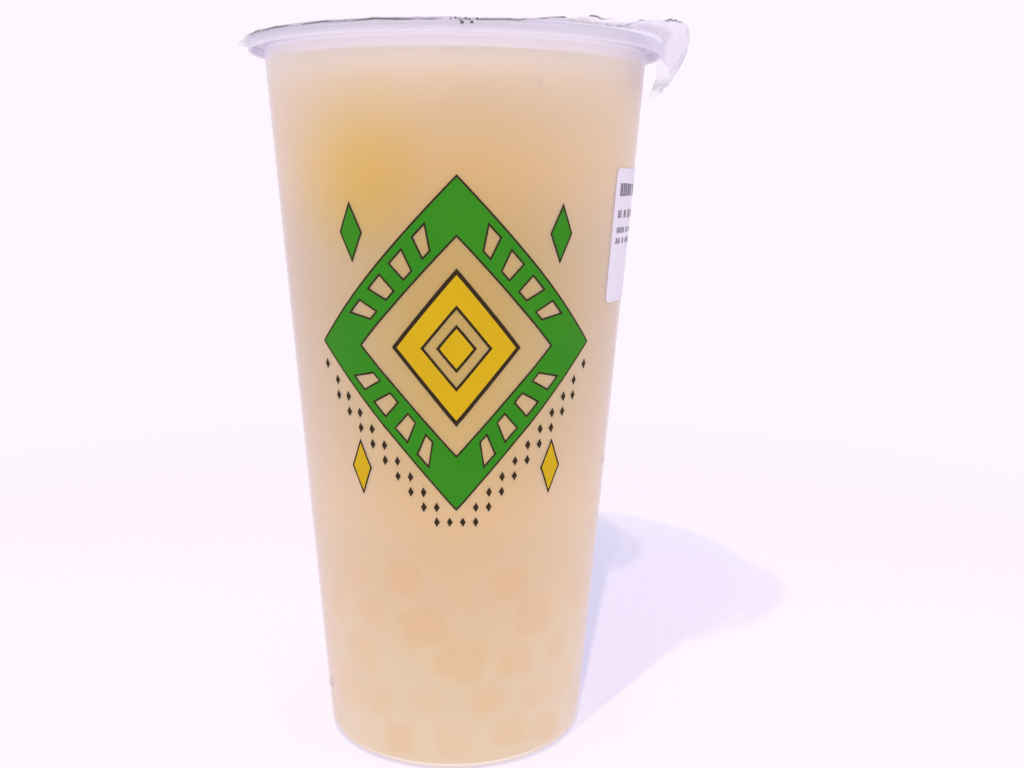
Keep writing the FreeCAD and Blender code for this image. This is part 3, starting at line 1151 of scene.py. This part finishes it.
let_go()
bpy.ops.mesh.primitive_ico_sphere_add(subdivisions=2, radius=0.5)
speck = bpy.context.object
copies = [
    set_down(
        speck,
        Matrix.Rotation(math.radians(angle), 4, "Z")
        @ Matrix.Translation((RIM_RADIUS + 0.85 * mm, 0, height * mm))
        @ Matrix.Diagonal((0.5 * wide * mm, wide * mm, 0.8 * wide * mm, 1)),
    )
    for angle, height, wide in SPECKS
]
specks = join_up(copies, "weld_specks", speck)
bpy.ops.object.shade_smooth()
tell(specks)

# %% Finish the specks
moisture, tree, shader = new_finish("weld_moisture", Roughness=0.2)
mottled_tone(tree, shader, mottle(tree, 900), (48, 44, 52), (110, 104, 116))
specks.data.materials.append(moisture)
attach(specks, "root")

# %% [markdown]
# Flat pieces on a round wall
#
# The label and the print are flat sheets laid round the wall. Each is drawn flat, as the printer draws
# it, with x along the wall and z up. It is cut into narrow upright strips, so that it can bend, then
# bent by a Simple Deform modifier, pressed onto the wall by Shrinkwrap and thickened by Solidify.

# %% Helpers for flat pieces
STRIP = 1.5 * mm
CLEAR_OF_WALL = 0.3 * mm
FACE_FRONT = (math.pi / 2, 0, 0)


def start_flat(name, place, width, height):
    """A flat rectangle that faces the front, selected in edit mode."""
    let_go()
    bpy.ops.mesh.primitive_plane_add(size=1, location=(place[0], 0, place[1]), rotation=FACE_FRONT)
    piece = bpy.context.object
    piece.name = name
    piece.scale = (width, height, 1)
    settle(piece)
    bpy.ops.object.mode_set(mode="EDIT")
    bpy.ops.mesh.select_all(action="SELECT")
    return piece


def cut_strips(piece):
    """Cuts the flat piece with upright lines."""
    reach = max(abs(vert.co.x) for vert in bmesh.from_edit_mesh(piece.data).verts)
    for number in range(-int(reach / STRIP), int(reach / STRIP) + 1):
        bpy.ops.mesh.select_all(action="SELECT")
        bpy.ops.mesh.bisect(plane_co=(number * STRIP, 0, 0), plane_no=(1, 0, 0))


def wrap(piece, angle, proud):
    """Bends a flat piece to the cup at an angle, and presses it onto the wall."""
    let_go()
    across = [vert.co.x for vert in piece.data.vertices]
    radius = wall_at(max(vert.co.z for vert in piece.data.vertices)) + CLEAR_OF_WALL
    bend = (max(across) - min(across)) / radius
    apply_modifier(piece, "SIMPLE_DEFORM", deform_method="BEND", deform_axis="Z", angle=bend)
    turn = Matrix.Rotation(math.radians(angle + 90), 4, "Z")
    piece.matrix_world = turn @ Matrix.Translation((0, -radius, 0))
    settle(piece)
    apply_modifier(
        piece,
        "SHRINKWRAP",
        target=cup,
        wrap_method="NEAREST_SURFACEPOINT",
        wrap_mode="ABOVE_SURFACE",
        offset=proud,
    )


# %% [markdown]
# The order label
#
# A white thermal label, 40 by 30 mm, stuck on by the shop. Only its left end shows from the front. It
# gets short grey bars where an order would be printed: no words, only their rhythm.

# %% Model the label
LABEL_ANGLE = -5.5
LABEL_WIDTH = 40 * mm
LABEL_MIDDLE = (LABEL_LOW + LABEL_HIGH) / 2
LABEL_ROUNDING = 1.5 * mm
GLUE, PAPER, TONER = 0.03 * mm, 0.12 * mm, 0.015 * mm
MARKS_PROUD = GLUE + PAPER + 0.01 * mm

label = start_flat("order_sticker", (0, LABEL_MIDDLE), LABEL_WIDTH, LABEL_HIGH - LABEL_LOW)
bpy.ops.mesh.bevel(offset=LABEL_ROUNDING, segments=5, affect="VERTICES")
cut_strips(label)
wrap(label, LABEL_ANGLE, GLUE)
thicken(label, PAPER)
bpy.ops.object.shade_smooth_by_angle(angle=math.radians(30))
tell(label)

# %% Model the marks on the label
# Each row is how far it lies below the top, and its marks' height and width, in millimetres.
MARK_ROWS = ((4.7, 3.0, 1.7), (10.1, 2.1, 1.2), (13.7, 1.4, 0.8), (16.1, 1.4, 0.8))
MARGIN = 2.4 * mm
WORD_GAP = 1.3 * mm
LETTER_GAP = 0.35 * mm

draw = random.Random(11)
marks = start_flat("label_marks", (0, LABEL_MIDDLE), 1 * mm, 1 * mm)
bpy.ops.mesh.delete(type="VERT")
for down, tall, wide in MARK_ROWS:
    x = -LABEL_WIDTH / 2 + MARGIN
    end = LABEL_WIDTH / 2 - MARGIN - draw.uniform(2, 14) * mm
    while x < end:
        for _ in range(draw.randint(2, 6)):
            width = wide * draw.uniform(0.6, 1.0) * mm
            height = tall * draw.uniform(0.75, 1.0) * mm
            middle = (x + width / 2, 0, LABEL_HIGH - down * mm)
            bpy.ops.mesh.primitive_plane_add(size=1, location=middle, rotation=FACE_FRONT)
            bpy.ops.transform.resize(value=(width, 1, height), center_override=middle)
            x += width + LETTER_GAP
        x += WORD_GAP
cut_strips(marks)
wrap(marks, LABEL_ANGLE, MARKS_PROUD)
thicken(marks, TONER)
tell(marks)

# %% Finish the label
paper, tree, shader = new_finish("label_paper", Roughness=0.75)
fibres = mottle(tree, 1400, detail=4.0)
mottled_tone(tree, shader, fibres, (216, 206, 226), (230, 221, 238))
relief(tree, shader, fibres, 0.02 * mm, 0.25)
label.data.materials.append(paper)
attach(label, "root")
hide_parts("order_label")

toner, tree, shader = new_finish("label_toner", Roughness=0.7)
mottled_tone(tree, shader, mottle(tree, 1600), (78, 70, 86), (150, 140, 160))
marks.data.materials.append(toner)
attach(marks, "root")

# %% [markdown]
# The print
#
# The front carries a print in green, yellow and dark brown. This one is a plain ornament of nested
# lozenges: a broad green frame with windows, a yellow heart, four small lozenges at its corners and
# rows of small brown ones under it. It is drawn flat in one mesh. Each lozenge starts as a circle of
# four sides, which is stretched and inset. Every band of it is given its ink as a material, and at
# the end the mesh is separated by material, one piece for each ink, as a press prints them.

# %% Helpers for the print
INKS = ("print_dark", "print_green", "print_yellow")
DARK, GREEN, YELLOW = range(3)
LINE = 0.42 * mm
INK_PROUD, INK = 0.025 * mm, 0.03 * mm
PRINT_MIDDLE = 99.5 * mm


def add_lozenge(middle, half_width, half_height):
    """Adds a lozenge to the flat print and leaves it selected."""
    place = (middle[0], 0, middle[1])
    bpy.ops.mesh.primitive_circle_add(
        vertices=4, radius=half_height, fill_type="NGON", location=place, rotation=FACE_FRONT
    )
    bpy.ops.transform.resize(value=(half_width / half_height, 1, 1), center_override=place)


def ink(colour):
    """Gives the selected faces an ink."""
    art.active_material_index = colour
    bpy.ops.object.material_slot_assign()


def add_bands(middle, half_width, half_height, bands):
    """Insets a lozenge into bands, each (ink, width). A band without a width fills the rest."""
    add_lozenge(middle, half_width, half_height)
    for colour, width in bands:
        ink(colour)
        if width:
            bpy.ops.mesh.inset(thickness=width)
    if bands[-1][1]:
        bpy.ops.mesh.delete(type="FACE")


def shrink(half_width, half_height, inward):
    """The half sizes of a lozenge whose sides lie this far inside another's."""
    scale = 1 - inward * math.hypot(half_width, half_height) / (half_width * half_height)
    return half_width * scale, half_height * scale


# %% Draw the frame
FRAME = (34.5 * mm, 35.5 * mm)
FRAME_BAND = 8.0 * mm
WINDOWS = 6
WINDOW_MARGIN = 1.45 * mm


def off_the_corners(vert):
    """Whether a point of the frame lies away from its four corners."""
    return min(abs(vert.co.x), abs(vert.co.z - PRINT_MIDDLE)) > 0.1 * mm


art = start_flat("print_art", (0, PRINT_MIDDLE), 1 * mm, 1 * mm)
bpy.ops.mesh.delete(type="VERT")
for name in INKS:
    art.data.materials.append(bpy.data.materials.new(name))
centre = (0, PRINT_MIDDLE)
add_bands(centre, *FRAME, [(GREEN, FRAME_BAND)])

pick(art, "edges", lambda edge: edge.is_boundary)
bpy.ops.mesh.subdivide(number_cuts=WINDOWS - 1)

bpy.ops.mesh.select_mode(type="FACE")
bpy.ops.mesh.select_all(action="DESELECT")
pick(art, "faces", lambda face: all(off_the_corners(vert) for vert in face.verts))
bpy.ops.mesh.inset(thickness=WINDOW_MARGIN, use_individual=True)
ink(DARK)
bpy.ops.mesh.inset(thickness=LINE, use_individual=True)
bpy.ops.mesh.delete(type="FACE")

outer = shrink(*FRAME, -LINE)
add_bands(centre, *outer, [(DARK, LINE)])
inner = shrink(*FRAME, FRAME_BAND)
add_bands(centre, *inner, [(DARK, LINE)])
print("frame:", len(bmesh.from_edit_mesh(art.data).faces), "faces")

# %% Draw the rest of the print
HEART = [(DARK, 0.9 * mm), (YELLOW, 4.2 * mm), (DARK, 0.6 * mm)]
SEED = [(DARK, 0.6 * mm), (YELLOW, 0)]
CORNERS = ((24.0 * mm, 24.0 * mm, GREEN), (25.0 * mm, -27.5 * mm, YELLOW))
BEADS = 11
BEAD_OUT, BEAD_ROW = 1.5 * mm, 3.4 * mm

add_bands(centre, 15.0 * mm, 17.0 * mm, HEART)
add_bands(centre, 4.6 * mm, 5.2 * mm, SEED)
for side in (-1, 1):
    for out, up, colour in CORNERS:
        add_bands((side * out, PRINT_MIDDLE + up), 3.0 * mm, 6.4 * mm, [(DARK, LINE), (colour, 0)])
for row in range(2):
    for number in range(BEADS - row * 2):
        share = (number + 0.5 + row) / BEADS
        for side in (-1, 1):
            out = side * share * (FRAME[0] + BEAD_OUT)
            down = (1 - share) * (FRAME[1] + BEAD_OUT) + BEAD_ROW * (1 + row)
            add_bands((out, PRINT_MIDDLE - down), 0.75 * mm, 1.15 * mm, [(DARK, 0)])
cut_strips(art)
wrap(art, -90, INK_PROUD)
bpy.ops.object.mode_set(mode="EDIT")
bpy.ops.mesh.separate(type="MATERIAL")
let_go()
prints = {}
for item in [item for item in bpy.context.scene.objects if item.name.startswith("print_art")]:
    ink_name = item.data.materials[item.data.polygons[0].material_index].name
    item.name = ink_name
    item.data.materials.clear()
    thicken(item, INK)
    bpy.ops.object.mode_set(mode="EDIT")
    close_up(item, smooth=30)
    prints[ink_name] = item
    tell(item)

# %% Finish the print
for ink_name, first, second in (
    ("print_dark", (30, 20, 2), (52, 36, 10)),
    ("print_green", (30, 124, 8), (52, 130, 8)),
    ("print_yellow", (204, 166, 0), (194, 154, 0)),
):
    finish, tree, shader = new_finish(f"{ink_name}_ink", Roughness=0.55, Specular_IOR_Level=0.2)
    mottled_tone(tree, shader, mottle(tree, 60), first, second)
    prints[ink_name].data.materials.append(finish)
    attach(prints[ink_name], "root")

# %% [markdown]
# Drops of water
#
# A cold cup sweats. A few small drops cling to the wall. A drop is flat where it touches the plastic
# and heavier at its lower end: a sphere is cut in half, closed, and its lower half is widened.

# %% Model the drops
# Each drop is an angle in degrees, a height and a length in millimetres.
DROPS = (
    (-160, 13.5, 2.7),
    (-17, 69.2, 1.7),
    (-17.5, 95.5, 1.3),
    (-158, 31.0, 0.8),
    (-22, 33.0, 0.9),
    (-67, 153.7, 1.0),
    (38, 52.0, 1.5),
    (74, 84.0, 1.9),
    (80, 76.5, 1.1),
    (131, 47.0, 1.6),
    (165, 118.0, 1.2),
)

let_go()
bpy.ops.mesh.primitive_uv_sphere_add(segments=16, ring_count=10, radius=0.5)
drop = bpy.context.object
bpy.ops.object.mode_set(mode="EDIT")
bpy.ops.mesh.select_all(action="SELECT")
bpy.ops.mesh.bisect(plane_co=(-0.1, 0, 0), plane_no=(1, 0, 0), use_fill=True, clear_inner=True)
mesh = bmesh.from_edit_mesh(drop.data)
for vert in mesh.verts:
    vert.select = vert.co.z < -0.1
mesh.select_flush_mode()
bmesh.update_edit_mesh(drop.data)
bpy.ops.transform.resize(value=(1.18, 1.18, 1.25), center_override=(-0.1, 0, -0.1))
let_go()

copies = [
    set_down(
        drop,
        Matrix.Rotation(math.radians(angle), 4, "Z")
        @ Matrix.Translation((wall_at(height * mm) + 0.02 * mm, 0, height * mm))
        @ Matrix.Diagonal((0.45 * tall * mm, 0.7 * tall * mm, tall * mm, 1)),
    )
    for angle, height, tall in DROPS
]
drops = join_up(copies, "water_drops", drop)
bpy.ops.object.shade_smooth_by_angle(angle=math.radians(60))
tell(drops)

# %% Finish the drops
water, tree, shader = new_finish(
    "water", Base_Color=(0.72, 0.66, 0.66, 1.0), Roughness=0.04, Alpha=0.40, IOR=1.33
)
drops.data.materials.append(water)
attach(drops, "root")

# %% Measure and finish
size = {
    "cad": [list(corner) for corner in cad_box],
    "visual": [list(corner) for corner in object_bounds()],
}
print(json.dumps(size))
